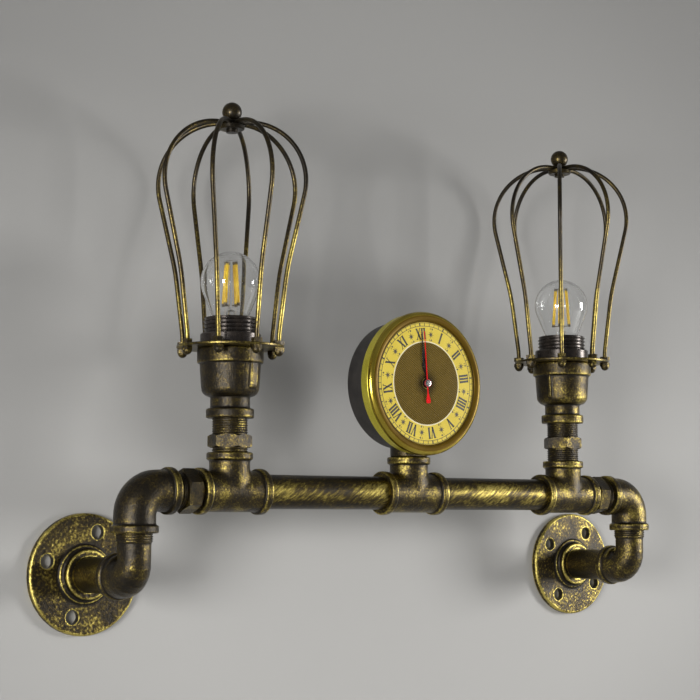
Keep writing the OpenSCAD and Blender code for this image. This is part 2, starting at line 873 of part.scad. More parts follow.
// Ball on its collar, with the stud that holds the crown
module finial_shape() {
    sit = wire_r + seat;
    head = 2.4;
    stud_foot = -wire_r - crown_t - 2 * seat;
    translate([0, 0, cage_top_z]) {
        difference() {
            union() {
                translate([0, 0, ball_up]) sphere(d = ball_d);
                translate([0, 0, sit]) cylinder(d = collar_d, h = ball_up - sit);
            }
            translate([0, 0, sit - ball_d]) cylinder(d = 2 * ball_d, h = ball_d);
        }
        translate([0, 0, stud_foot]) cylinder(d = stud_d, h = sit - stud_foot);
        translate([0, 0, stud_foot - head]) cylinder(d = stud_d + 4, h = head);
    }
}

module cage_finial_left() {
    color(bronze_dark) on_lamp(-1) finial_shape();
}

module cage_finial_right() {
    color(bronze_dark) on_lamp(1) finial_shape();
}

// Outline of the globe and its neck, drawn inwards by an offset
function globe_outline(inset) = let (r = bulb_r - inset, n = neck_r - inset,
    tr = r * cos(neck_angle), tz = bulb_centre - r * sin(neck_angle),
    nz = tz - (tr - n) / tan(neck_angle))
    concat([[n, neck_foot], [n, nz]], arc(0, bulb_centre, r, -neck_angle, 90, 18));

module glass_shape() {
    outer = globe_outline(0);
    inner = globe_outline(glass_t);
    rotate_extrude() polygon(concat(outer, [for (i = [len(inner) - 1 : -1 : 0]) inner[i]]));
}

module bulb_glass_left() {
    color(clear_glass) on_lamp(-1) glass_shape();
}

module bulb_glass_right() {
    color(clear_glass) on_lamp(1) glass_shape();
}

// Screw cap with its insulator and centre contact
module cap_shape() {
    r = cap_d / 2;
    rotate_extrude() polygon([[0, cap_tip], [4, cap_tip], [4.6, cap_tip + 0.6], [5, -3], [9.6, -2],
        [r - 1.4, cap_foot], [r, cap_foot + 1.4], [r, cap_rim], [r - cap_t, cap_rim],
        [r - cap_t, cap_foot + 2.4], [0, cap_foot + 1.4]]);
}

module bulb_cap_left() {
    color(nickel) on_lamp(-1) cap_shape();
}

module bulb_cap_right() {
    color(nickel) on_lamp(1) cap_shape();
}

// Flared glass stem and its centre rod
module stem_shape() {
    flare_r = neck_r - glass_t - slip;
    rotate_extrude() polygon([[0, neck_foot], [flare_r, neck_foot], [flare_r, neck_foot + 0.8],
        [6, neck_foot + 4], [4, neck_foot + 8], [3.2, filament_low[1] - 4], [rod_d / 2, filament_low[1] - 3],
        [rod_d / 2, filament_high[1] + 1], [0, filament_high[1] + 1.6]]);
}

module bulb_stem_left() {
    color(clear_glass) on_lamp(-1) stem_shape();
}

module bulb_stem_right() {
    color(clear_glass) on_lamp(1) stem_shape();
}

// Leaning filaments with the support wires that join them to the stem
module filaments_shape(turn) {
    lean = atan((filament_low[0] - filament_high[0]) / (filament_high[1] - filament_low[1]));
    len = norm(filament_high - filament_low);
    for (i = [0 : filament_count - 1])
        rotate([0, 0, turn + 360 * i / filament_count]) {
            translate([filament_low[0], 0, filament_low[1]]) rotate([0, -lean, 0])
                cylinder(d = filament_d, h = len);
            translate([rod_d / 2 + seat, 0, filament_high[1] - 0.6]) rotate([0, 90, 0])
                cylinder(d = support_d, h = filament_high[0] - rod_d / 2, $fn = 16);
            translate([rod_d / 2 + seat, 0, filament_low[1] + 0.6]) rotate([0, 90, 0])
                cylinder(d = support_d, h = filament_low[0] - rod_d / 2, $fn = 16);
        }
}

module bulb_filaments_left() {
    color(amber) on_lamp(-1) filaments_shape(filament_turn);
}

module bulb_filaments_right() {
    color(amber) on_lamp(1) filaments_shape(filament_turn + 12);
}

// Drum with a rounded back and a round opening for the battery and the setting knob
module clock_case() {
    back_round = 3;
    inner = drum_r - drum_t;
    color(bronze_dark) on_clock() rotate_extrude($fn = 96) polygon(concat(
        [[back_hole_d / 2, case_back], [drum_r - back_round, case_back]],
        arc(drum_r - back_round, case_back + back_round, back_round, 270, 360, 5),
        [[drum_r, ring_front], [inner, ring_front]],
        arc(inner - 1.4, case_back + drum_t + 1.4, 1.4, 360, 270, 3),
        [[back_hole_d / 2, case_back + drum_t]]));
}

// Short stem from the middle tee to the drum, cut to the drum's curve
module clock_stem() {
    foot = tee_top - thread_in;
    collar_z = tee_top + seat;
    color(bronze_dark) difference() {
        union() {
            translate([0, -bar_out, foot]) thread_end(thread_in + 2);
            translate([0, -bar_out, collar_z]) rotate_extrude()
                polygon([[0, 0], [stem_collar_d / 2 - edge, 0], [stem_collar_d / 2, edge],
                    [stem_collar_d / 2, clock_up - tee_reach - drum_r + 1.5],
                    [thread_od / 2, clock_up - tee_reach - drum_r + 4],
                    [thread_od / 2, clock_up - tee_reach - drum_r + 7],
                    [0, clock_up - tee_reach - drum_r + 7]]);
        }
        translate([0, 0, clock_z]) rotate([90, 0, 0]) cylinder(r = drum_r + seat, h = 2 * bar_out);
        translate([0, 0, clock_z]) rotate([90, 0, 0])
            translate([0, 0, bezel_back - slip]) cylinder(r = bezel_r + slip, h = bar_out);
        translate([0, -bar_out, foot - 1]) cylinder(d = nipple_bore, h = thread_in + 3);
    }
}

// Brass bezel: plain rear ring, groove, half-round front ring, lip that carries the lens
module clock_bezel() {
    crest_r = bezel_r - bezel_round;
    inner_fall = bezel_front - lens_seat - lens_edge;
    color(clock_brass) on_clock() rotate_extrude($fn = 128) polygon(concat(
        [[drum_r + seat, bezel_back], [bezel_r - 1.8, bezel_back], [bezel_r - 1.2, bezel_back + 0.6],
            [bezel_r - 1.2, ring_front - 0.4], [bezel_r - 1.6, ring_front], [bezel_r - 2, ring_front],
            [bezel_r - 2, rim_back], [bezel_r - 0.6, rim_back]],
        arc(crest_r, bezel_front - bezel_round, bezel_round, 0, 90, 6),
        [for (a = [112.5 : 22.5 : 180])
            [crest_r + (crest_r - lens_r - slip) * cos(a), bezel_front - inner_fall * (1 - sin(a))]],
        [[lens_r + slip, lens_seat], [ledge_r, lens_seat], [ledge_r, dial_front + seat],
            [dial_r + slip, dial_front + seat], [dial_r + slip, ring_front + seat],
            [drum_r - drum_t - dial_ledge, ring_front + seat],
            [drum_r - drum_t - dial_ledge, ring_front - 1], [drum_r - drum_t - slip, ring_front - 1],
            [drum_r - drum_t - slip, ring_front], [drum_r + seat, ring_front + seat]]));
}

// Domed lens, pressed into the bezel from the front
module clock_lens() {
    foot = lens_seat + seat;
    color(clear_glass) on_clock() rotate_extrude($fn = 128) polygon(concat(
        [for (i = [0 : 10]) [ledge_r * i / 10, foot + lens_sag * (1 - pow(i / 10, 2))]],
        [for (i = [10 : -1 : 0])
            [lens_r * i / 10, foot + lens_edge + (lens_sag + lens_t - lens_edge) * (1 - pow(i / 10, 2))]]));
}

// Dial plate with a deep edge, held between the bezel's lip and the drum
module clock_dial() {
    color(dial_gold) turned_clock() rotate_extrude($fn = 128)
        polygon([[dial_hole_d / 2, dial_back], [track_d / 2 + 0.6, dial_back],
            [track_d / 2 + 0.6, ring_front + 2 * seat], [dial_r - slip, ring_front + 2 * seat],
            [dial_r - slip, dial_front], [dial_hole_d / 2, dial_front]]);
}

// Quartz movement with battery bay, bush for the hands and hole for the setting knob
module clock_movement() {
    corner = 4;
    half = move_w / 2;
    color(movement_grey) turned_clock() difference() {
        union() {
            translate([0, 0, move_back]) linear_extrude(move_t - seat)
                polygon([for (i = [0 : 3], s = [-1, 1])
                    let (a = 90 * i + 45, u = half - (s > 0 ? corner : 0), v = half - (s < 0 ? corner : 0))
                    [u * cos(a - 45) - v * sin(a - 45), u * sin(a - 45) + v * cos(a - 45)]]);
            translate([0, 0, move_back]) cylinder(d = bush_d, h = bush_front - move_back);
        }
        translate([0, 0, move_back - 1])
            cylinder(d = tube_d + 2 * run_fit, h = bush_front - move_back + 2);
        translate([0, -battery_drop, move_back - 1 + (battery_d + 2 * battery_room + 1) / 2])
            cube([battery_len + battery_tip + 2 * battery_room, battery_d + 2 * battery_room,
                battery_d + 2 * battery_room + 1], center = true);
    }
}

// Round cell with its button end
module clock_battery() {
    lift = battery_d / 2 + battery_room;
    color([0.55, 0.56, 0.58]) turned_clock()
        translate([-(battery_len + battery_tip) / 2, -battery_drop, move_back + lift - 0.6])
            rotate([0, 90, 0]) {
                cylinder(d = battery_d, h = battery_len);
                cylinder(d = battery_d * 0.38, h = battery_len + battery_tip);
            }
}

// Knob that sets the time, on the arbor behind the minute hand
module setting_knob() {
    arbor_in = 3;
    color(movement_grey) turned_clock() difference() {
        union() {
            translate([0, 0, move_back - knob_gap - knob_t]) cylinder(d = knob_d, h = knob_t);
            translate([0, 0, move_back - knob_gap]) cylinder(d = arbor_d, h = arbor_in + knob_gap);
        }
        for (i = [0 : 11])
            rotate([0, 0, 30 * i])
                translate([knob_d / 2 + 0.5, 0, move_back - knob_gap - knob_t - 1])
                    cylinder(d = 2, h = knob_t + 2, $fn = 24);
    }
}

// Openwork hand: round boss, narrow stem, pierced leaf, fine tip
module hand_outline(len, boss, leaf) {
    difference() {
        union() {
            circle(d = boss);
            translate([-0.7, 0]) square([1.4, 0.3 * len]);
            polygon([[-0.6, 0.28 * len], [-leaf / 2, 0.45 * len], [-leaf / 2, 0.53 * len],
                [-0.55, 0.74 * len], [-0.3, len], [0.3, len], [0.55, 0.74 * len],
                [leaf / 2, 0.53 * len], [leaf / 2, 0.45 * len], [0.6, 0.28 * len]]);
        }
        polygon([[0, 0.36 * len], [-leaf / 2 + 0.9, 0.46 * len], [-leaf / 2 + 0.9, 0.51 * len],
            [0, 0.63 * len], [leaf / 2 - 0.9, 0.51 * len], [leaf / 2 - 0.9, 0.46 * len]]);
    }
}

// Hour hand on its tube in the movement's bush
module hour_hand() {
    tube_in = 8;
    color("black") turned_clock() difference() {
        union() {
            translate([0, 0, hour_at]) linear_extrude(hand_t) hand_outline(hour_len, 8.4, 5.2);
            translate([0, 0, hour_at - tube_in]) cylinder(d = tube_d, h = tube_in + hand_t);
        }
        translate([0, 0, hour_at - tube_in - 1]) cylinder(d = arbor_d + 2 * run_fit, h = tube_in + 3);
    }
}

// Minute hand on its arbor inside the hour tube
module minute_hand() {
    arbor_in = 11;
    color("black") turned_clock() difference() {
        union() {
            translate([0, 0, minute_at]) linear_extrude(hand_t) hand_outline(minute_len, 6.6, 4.2);
            translate([0, 0, minute_at - arbor_in]) cylinder(d = arbor_d, h = arbor_in + hand_t);
        }
        translate([0, 0, minute_at - arbor_in - 1]) cylinder(d = pin_d + 2 * run_fit, h = arbor_in + 3);
    }
}

// Second hand with its weighted tail, cap and pin
module second_hand() {
    pin_in = 13;
    tail = 16.5;
    ahead = -4;
    color("red") turned_clock() rotate([0, 0, ahead]) {
        translate([0, 0, second_at]) linear_extrude(hand_t)
            polygon([[-0.45, 0], [-0.3, second_len], [0.3, second_len], [0.45, 0], [0.5, -8],
                [2.4, -tail + 2], [1.6, -tail], [-1.6, -tail], [-2.4, -tail + 2], [-0.5, -8]]);
        translate([0, 0, second_at]) cylinder(d = hand_cap_d, h = hand_t + hand_cap_t);
        translate([0, 0, second_at - pin_in]) cylinder(d = pin_d, h = pin_in + hand_t);
    }
}

// A lead from the left flange through the fittings to one lamp, shifted off the bore axis
module lead_run(side, shift) {
    start_x = -flange_x;
    lamp_foot = cup_rim(side) - holder_in_cup - seat;
    translate([-shift, shift, shift]) {
        translate([start_x, -lead_start - shift, 0])
            rotate([90, 0, 0])
                cylinder(d = lead_d, h = bar_out - street_bore_bend - lead_start - shift);
        translate([start_x, street_bore_bend - bar_out, street_bore_bend])
            rotate([0, 0, 90])
                rotate([90, 0, 0])
                    rotate_extrude(angle = 90, start = 180)
                        translate([street_bore_bend, 0])
                            circle(d = lead_d, $fn = 24);
        translate([start_x, -bar_out, street_bore_bend])
            cylinder(d = lead_d, h = bar_height - elbow_bend - street_bore_bend);
        translate([start_x + elbow_bend, -bar_out, bar_height - elbow_bend])
            rotate([90, 0, 0])
                rotate_extrude(angle = 90, start = 90)
                    translate([elbow_bend, 0])
                        circle(d = lead_d, $fn = 24);
        translate([start_x + elbow_bend, -bar_out, bar_height])
            rotate([0, 90, 0])
                cylinder(d = lead_d, h = side * lamp_x - lead_tee_bend - start_x - elbow_bend);
        translate([side * lamp_x - lead_tee_bend, -bar_out, bar_height + lead_tee_bend])
            rotate([90, 0, 0])
                rotate_extrude(angle = 90, start = 270)
                    translate([lead_tee_bend, 0])
                        circle(d = lead_d, $fn = 24);
        translate([side * lamp_x, -bar_out, bar_height + lead_tee_bend])
            cylinder(d = lead_d, h = lamp_foot - bar_height - lead_tee_bend - shift);
    }
}

module lead_left() {
    color("black") lead_run(-1, lead_side);
}

module lead_right() {
    color("black") lead_run(1, -lead_side);
}

flange_left();
flange_right();
stub_pipe_left();
stub_pipe_right();
street_elbow_left();
street_elbow_right();
elbow_left();
elbow_right();
bar_nipple_left();
bar_nipple_right();
tee_left();
tee_middle();
tee_right();
bar_pipe_left();
bar_pipe_right();
riser_nipple_left();
riser_nipple_right();
lamp_cup_left();
lamp_cup_right();
holder_left();
holder_right();
holder_shell_left();
holder_shell_right();
holder_contact_left();
holder_contact_right();
ring_nut_left();
ring_nut_right();
cage_plate_left();
cage_plate_right();
cage_wires_left();
cage_wires_right();
cage_nuts_left();
cage_nuts_right();
cage_crown_left();
cage_crown_right();
cage_finial_left();
cage_finial_right();
bulb_glass_left();
bulb_glass_right();
bulb_cap_left();
bulb_cap_right();
bulb_stem_left();
bulb_stem_right();
bulb_filaments_left();
bulb_filaments_right();
clock_case();
clock_stem();
clock_bezel();
clock_lens();
clock_dial();
clock_movement();
clock_battery();
setting_knob();
hour_hand();
minute_hand();
second_hand();
lead_left();
lead_right();
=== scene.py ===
import math

import bmesh
import bpy
import numpy as np
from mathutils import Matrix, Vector, noise


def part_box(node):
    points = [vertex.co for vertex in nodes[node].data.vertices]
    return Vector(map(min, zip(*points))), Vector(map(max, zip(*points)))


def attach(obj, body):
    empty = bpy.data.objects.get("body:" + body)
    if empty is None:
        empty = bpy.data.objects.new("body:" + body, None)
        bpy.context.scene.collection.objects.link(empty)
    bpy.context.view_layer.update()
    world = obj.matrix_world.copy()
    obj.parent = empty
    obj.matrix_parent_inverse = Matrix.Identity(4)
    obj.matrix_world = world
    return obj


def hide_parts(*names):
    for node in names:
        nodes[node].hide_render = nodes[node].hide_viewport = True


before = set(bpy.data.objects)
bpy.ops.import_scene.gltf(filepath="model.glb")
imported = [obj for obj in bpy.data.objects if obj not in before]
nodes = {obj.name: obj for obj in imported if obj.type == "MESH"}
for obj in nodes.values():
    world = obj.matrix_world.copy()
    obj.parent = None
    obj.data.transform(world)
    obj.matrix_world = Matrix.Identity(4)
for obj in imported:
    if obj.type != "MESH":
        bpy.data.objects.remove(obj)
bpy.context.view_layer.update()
scene = bpy.context.scene
scene.view_settings.view_transform = "Standard"

MM = 0.001
FRAME_BODY = "wall_frame"
SIDES = (("left", -1), ("right", 1))

# ---------------------------------------------------------------- places in the CAD model, in millimetres

FLANGE_X = 260.0            # flange axes, to either side of the middle
LAMP_X = 177.0              # lamp axes, to either side of the middle
BAR_OUT = 80.5              # the bar's axis, out from the wall
BAR_Z = 63.5                # the bar's axis, above the flanges
BRANCH_Z = 77.0             # where a tee's branch leaves its run
TEE_TOP = 93.5              # rim of a tee's branch
CUP_RIM = {"left": 173.6, "right": 181.1}
CLOCK_Z = 153.5             # the clock's axis
CLOCK_TURN = math.radians(8.0)
DIAL_FRONT = -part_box("clock_dial")[0][1] / MM

# ---------------------------------------------------------------- camera and light, in metres

CAMERA_AT = (-0.8995, -1.1890, 0.0440)
CAMERA_TURN = (math.radians(95.56), 0.0, math.radians(-37.10))
CAMERA_LENS = 88.25
SENSOR = 36.0
CLIP_START, CLIP_END = 0.05, 50.0

SOFT_BOXES = {"light_left": (-1.80, -1.13, 0.04), "light_right": (1.82, -1.17, 0.20)}
BOX_AIM = (0.0, -0.08, 0.12)
BOX_SIZE = 0.55
BOX_POWER = 37.0
BOX_COLOUR = (1.0, 0.99, 0.97)
WORLD_COLOUR = (0.60, 0.60, 0.60, 1.0)
WORLD_STRENGTH = 0.40


def make_camera():
    data = bpy.data.cameras.new("camera")
    data.sensor_width = SENSOR
    data.lens = CAMERA_LENS
    data.clip_start = CLIP_START
    data.clip_end = CLIP_END
    cam = bpy.data.objects.new("camera", data)
    cam.location = CAMERA_AT
    cam.rotation_euler = CAMERA_TURN
    scene.collection.objects.link(cam)
    scene.camera = cam


def soft_box(name, at):
    data = bpy.data.lights.new(name, "AREA")
    data.shape = "RECTANGLE"
    data.size = data.size_y = BOX_SIZE
    data.energy = BOX_POWER
    data.color = BOX_COLOUR
    lamp = bpy.data.objects.new(name, data)
    lamp.location = at
    lamp.rotation_euler = (Vector(BOX_AIM) - Vector(at)).to_track_quat("-Z", "Y").to_euler()
    scene.collection.objects.link(lamp)


def make_lights():
    for name, at in SOFT_BOXES.items():
        soft_box(name, at)
    world = bpy.data.worlds.new("world")
    world.use_nodes = True
    back = world.node_tree.nodes["Background"]
    back.inputs["Color"].default_value = WORLD_COLOUR
    back.inputs["Strength"].default_value = WORLD_STRENGTH
    scene.world = world


# ---------------------------------------------------------------- node helpers

class Tree:
    """A material's node tree with short ways to add and join nodes."""

    def __init__(self, name):
        self.material = bpy.data.materials.new(name)
        self.material.use_nodes = True
        self.tree = self.material.node_tree
        self.tree.nodes.clear()
        self.out = self.add("ShaderNodeOutputMaterial")
        self.bsdf = self.add("ShaderNodeBsdfPrincipled")
        self.link(self.bsdf.outputs["BSDF"], self.out.inputs["Surface"])
        self.coord = self.add("ShaderNodeTexCoord").outputs["Object"]

    def add(self, kind, **values):
        node = self.tree.nodes.new(kind)
        for key, value in values.items():
            setattr(node, key, value)
        return node

    def link(self, a, b):
        self.tree.links.new(a, b)

    def put(self, socket, value):
        """Gives a socket a value, or links it to another node's output."""
        if isinstance(value, bpy.types.NodeSocket):
            self.link(value, socket)
        else:
            socket.default_value = value

    def set(self, **values):
        """Sets the shader's sockets by their names, with _ for a space."""
        for key, value in values.items():
            self.put(self.bsdf.inputs[key.replace("_", " ")], value)
        return self.material

    def math(self, kind, a, b=None, c=None):
        node = self.add("ShaderNodeMath", operation=kind)
        for socket, value in zip(node.inputs, (a, b, c)):
            if value is not None:
                self.put(socket, value)
        return node.outputs[0]

    def noise(self, scale, detail=3.0, rough=0.55, stretch=None, warp=0.0):
        node = self.add("ShaderNodeTexNoise")
        node.inputs["Scale"].default_value = scale
        node.inputs["Detail"].default_value = detail
        node.inputs["Roughness"].default_value = rough
        node.inputs["Distortion"].default_value = warp
        self.link(self.stretched(stretch) if stretch else self.coord, node.inputs["Vector"])
        return node.outputs["Fac"]

    def stretched(self, scale):
        node = self.add("ShaderNodeMapping")
        node.inputs["Scale"].default_value = scale
        self.link(self.coord, node.inputs["Vector"])
        return node.outputs["Vector"]

    def strokes(self, scale, length, slant):
        """Noise drawn out along a line that rises from x towards z by the angle slant."""
        node = self.add("ShaderNodeMapping", vector_type="TEXTURE")
        node.inputs["Rotation"].default_value = (0.0, -math.radians(slant), 0.0)
        node.inputs["Scale"].default_value = (length, 1.0, 1.0)
        self.link(self.coord, node.inputs["Vector"])
        brush = self.add("ShaderNodeTexNoise")
        brush.inputs["Scale"].default_value = scale
        brush.inputs["Detail"].default_value = 3.0
        self.link(node.outputs["Vector"], brush.inputs["Vector"])
        return brush.outputs["Fac"]

    def span(self, value, low, high, to_low=0.0, to_high=1.0):
        """Smooth step from one value to another."""
        node = self.add("ShaderNodeMapRange", interpolation_type="SMOOTHSTEP")
        self.put(node.inputs["Value"], value)
        node.inputs["From Min"].default_value = low
        node.inputs["From Max"].default_value = high
        node.inputs["To Min"].default_value = to_low
        node.inputs["To Max"].default_value = to_high
        return node.outputs["Result"]

    def ramp(self, value, stops):
        node = self.add("ShaderNodeValToRGB")
        self.link(value, node.inputs["Fac"])
        band = node.color_ramp
        while len(band.elements) < len(stops):
            band.elements.new(0.5)
        for element, (at, colour) in zip(band.elements, stops):
            element.position = at
            element.color = (*colour, 1.0)
        return node.outputs["Color"]

    def mix(self, fac, a, b):
        node = self.add("ShaderNodeMix", data_type="RGBA")
        self.put(node.inputs["Factor"], fac)
        for socket, value in ((node.inputs[6], a), (node.inputs[7], b)):
            self.put(socket, value if isinstance(value, bpy.types.NodeSocket) else (*value, 1.0))
        return node.outputs[2]

    def attribute(self, name):
        return self.add("ShaderNodeAttribute", attribute_name=name).outputs["Fac"]

    def axis(self, which):
        node = self.add("ShaderNodeSeparateXYZ")
        self.link(self.coord, node.inputs[0])
        return node.outputs[which]

    def reach(self, x, z):
        """Distance from a point, seen along y."""
        across = self.math("SUBTRACT", self.axis(0), x)
        up = self.math("SUBTRACT", self.axis(2), z)
        square = self.math("MULTIPLY_ADD", across, across, self.math("MULTIPLY", up, up))
        return self.math("SQRT", square)

    def bump(self, height, strength, distance):
        node = self.add("ShaderNodeBump")
        node.inputs["Strength"].default_value = strength
        node.inputs["Distance"].default_value = distance
        self.link(height, node.inputs["Height"])
        self.link(node.outputs["Normal"], self.bsdf.inputs["Normal"])


# ---------------------------------------------------------------- kinds of material

DARK = (0.018, 0.0145, 0.010)
BROWN = (0.075, 0.056, 0.023)
OLD_GOLD = (0.25, 0.197, 0.050)
BRIGHT = (0.58, 0.475, 0.130)
PATINA_STOPS = ((0.0, DARK), (0.35, BROWN), (0.72, OLD_GOLD), (1.0, BRIGHT))
PATCH_SHARE, SPECK_SHARE, FINE_SHARE = 0.80, 0.65, 0.35
PATINA_MIDDLE = 1.10
STROKE_LENGTH = 7.0
FINE_GRAIN = 1400.0


def patina(name, rub, patch=75.0, grain=1500.0, wear_gain=0.16, stretch=None, bump=0.42, painted_light_falls=(),
           rough=(0.27, 0.43), width=0.60, slant=None):
    """Dark bronze paint, dry-brushed with old gold: large soft patches, a fine cast speckle, rubbed edges.

    rub adds gold all over, painted_light_falls add or take gold by height as painted highlight and painted
    shade, and wear_gain adds it on worn edges.
    width is the range from bare paint to bright gold, and slant gives brush strokes for the speckle."""
    t = Tree(name)
    big = t.noise(patch, 3.0, 0.55, stretch, 0.3)
    coarse = grain * 0.45
    speck = t.noise(coarse, 3.0, 0.65) if slant is None else t.strokes(coarse, STROKE_LENGTH, slant)
    fine = t.noise(grain, 3.0, 0.6)
    total = t.math("ADD", t.math("MULTIPLY", big, PATCH_SHARE), t.math("MULTIPLY", speck, SPECK_SHARE))
    total = t.math("MULTIPLY_ADD", fine, FINE_SHARE, total)
    total = t.math("MULTIPLY_ADD", t.attribute("wear"), wear_gain, total)
    # Painted highlight and painted shade: more or less gold by height, as the light lands on the part.
    for painted_light_fall in painted_light_falls:
        total = t.math("ADD", total, t.span(t.axis(2), *painted_light_fall))
    amount = t.span(total, PATINA_MIDDLE - width / 2 - rub, PATINA_MIDDLE + width / 2 - rub)
    t.bump(t.math("ADD", speck, t.math("MULTIPLY", fine, 0.7)), bump, 0.0006)
    return t.set(Base_Color=t.ramp(amount, PATINA_STOPS), Metallic=t.span(amount, 0.0, 0.4, 0.75, 1.0),
                 Roughness=t.span(fine, 0.3, 0.7, *rough))


def smooth_finish(name, low, high, metallic, rough, scale=160.0, bump=0.06, stretch=None, gloss=0.5):
    """A plain finish whose tone, gloss and surface vary a little."""
    t = Tree(name)
    tone = t.noise(scale, 3.0, 0.6, stretch)
    fine = t.noise(FINE_GRAIN, 2.0, 0.5)
    t.bump(fine, bump, 0.0003)
    return t.set(Base_Color=t.mix(t.span(tone, 0.3, 0.7), low, high), Metallic=metallic,
                 Specular_IOR_Level=gloss, Roughness=t.span(fine, 0.3, 0.7, *rough))


def clear_glass(name):
    """Bulb glass with a few faint smears."""
    t = Tree(name)
    smear = t.noise(90.0, 2.0, 0.5)
    return t.set(Base_Color=(0.985, 0.99, 0.99, 1.0), IOR=1.45, Transmission_Weight=1.0,
                 Roughness=t.span(smear, 0.35, 0.75, 0.0, 0.02))


def clear_pane(name):
    """Thin anti-glare cover, clear enough for the light to reach what lies under it."""
    t = Tree(name)
    smear = t.noise(90.0, 2.0, 0.5)
    return t.set(Base_Color=(0.02, 0.02, 0.02, 1.0), IOR=1.08, Alpha=0.06,
                 Roughness=t.span(smear, 0.35, 0.75, 0.18, 0.26))


def amber_coat(name):
    """Phosphor coat on the filaments, a little uneven and faintly glowing, with bare metal at both ends."""
    t = Tree(name)
    beads = t.noise(700.0, 2.0, 0.5, (1.0, 1.0, 0.25))
    colour = t.mix(t.span(beads, 0.35, 0.65), (0.68, 0.41, 0.010), (0.84, 0.57, 0.022))
    split = t.add("ShaderNodeSeparateXYZ")
    t.link(t.add("ShaderNodeTexCoord").outputs["Generated"], split.inputs[0])
    height = split.outputs[2]
    coated = t.math("MULTIPLY", t.span(height, 0.05, 0.09), t.span(height, 0.95, 0.92))
    colour = t.mix(coated, (0.10, 0.075, 0.04), colour)
    t.bump(beads, 0.2, 0.0002)
    return t.set(Base_Color=colour, Roughness=0.45, Emission_Color=colour, Emission_Strength=0.14)


# The bezel from the wall outwards, and its band of painted dark reflection by radius: where each change
# starts and ends.
FRONT_EDGE = (100.6, 101.0)
GROOVE_REAR = (99.4, 99.8)
GROOVE_FRONT = (101.7, 101.1)
DARK_REFLECTION_EDGE = (57.2 * MM, 55.6 * MM)


def ringed_brass(name):
    """Bezel brass: satin rear ring, dark groove, polished front edge and a band round the dial painted dark
    brown as a painted reflection of a dark room.
    """
    t = Tree(name)
    out = t.math("MULTIPLY", t.axis(1), -1.0 / MM)
    front = t.span(out, *FRONT_EDGE)
    groove = t.math("MULTIPLY", t.span(out, *GROOVE_REAR), t.span(out, *GROOVE_FRONT))
    # The band round the dial is a painted reflection: dark brown, less metallic and rougher, in place of
    # the dark room it mirrors.
    band = t.math("MULTIPLY", front, t.span(t.reach(0.0, CLOCK_Z * MM), *DARK_REFLECTION_EDGE))
    cloud = t.span(t.noise(40.0, 3.0, 0.6), 0.3, 0.7)
    rear_tone = t.mix(cloud, (0.42, 0.37, 0.035), (0.52, 0.46, 0.065))
    edge_tone = t.mix(cloud, (0.36, 0.27, 0.035), (0.46, 0.36, 0.060))
    painted_reflection_tone = t.mix(cloud, (0.074, 0.043, 0.0035), (0.104, 0.062, 0.006))
    colour = t.mix(band, t.mix(front, rear_tone, edge_tone), painted_reflection_tone)
    colour = t.mix(groove, colour, (0.03, 0.024, 0.006))
    fine = t.noise(FINE_GRAIN, 2.0, 0.5)
    t.bump(fine, 0.03, 0.0003)
    rough = t.math("ADD", t.span(front, 0.0, 1.0, 0.30, 0.17), t.span(fine, 0.3, 0.7, -0.03, 0.05))
    metal = t.math("ADD", t.span(front, 0.0, 1.0, 0.65, 1.0), t.math("MULTIPLY", band, -0.75))
    return t.set(Base_Color=colour, Metallic=metal, Specular_IOR_Level=0.04,
                 Roughness=t.math("MULTIPLY_ADD", band, 0.15, rough))


LATTICE = 1.75 * MM
DISC_SHADE = (4.0 * MM, 14.0 * MM)


def woven_disc(name):
    """Brown disc with a fine lattice of gilt dots, and a painted shadow darkening it towards the middle."""
    t = Tree(name)
    turn = t.add("ShaderNodeMapping")
    turn.inputs["Rotation"].default_value = (0.0, CLOCK_TURN, 0.0)
    t.link(t.coord, turn.inputs["Vector"])
    split = t.add("ShaderNodeSeparateXYZ")
    t.link(turn.outputs["Vector"], split.inputs[0])
    wave = 2 * math.pi / LATTICE
    a = t.math("SINE", t.math("MULTIPLY", split.outputs[0], wave))
    b = t.math("SINE", t.math("MULTIPLY", split.outputs[2], wave))
    dots = t.span(t.math("MULTIPLY", a, b), -0.05, 0.6)
    tone = t.noise(120.0, 3.0, 0.6)
    ground = t.mix(t.span(tone, 0.35, 0.7), (0.036, 0.022, 0.003), (0.058, 0.036, 0.006))
    colour = t.mix(dots, ground, (0.33, 0.225, 0.045))
    # Painted shadow round the hub: darker towards the middle.
    shade = t.span(t.reach(0.0, CLOCK_Z * MM), *DISC_SHADE, 0.78, 0.0)
    colour = t.mix(shade, colour, (0.012, 0.009, 0.005))
    t.bump(dots, 0.25, 0.00015)
    return t.set(Base_Color=colour, Specular_IOR_Level=0.02, Roughness=0.5)


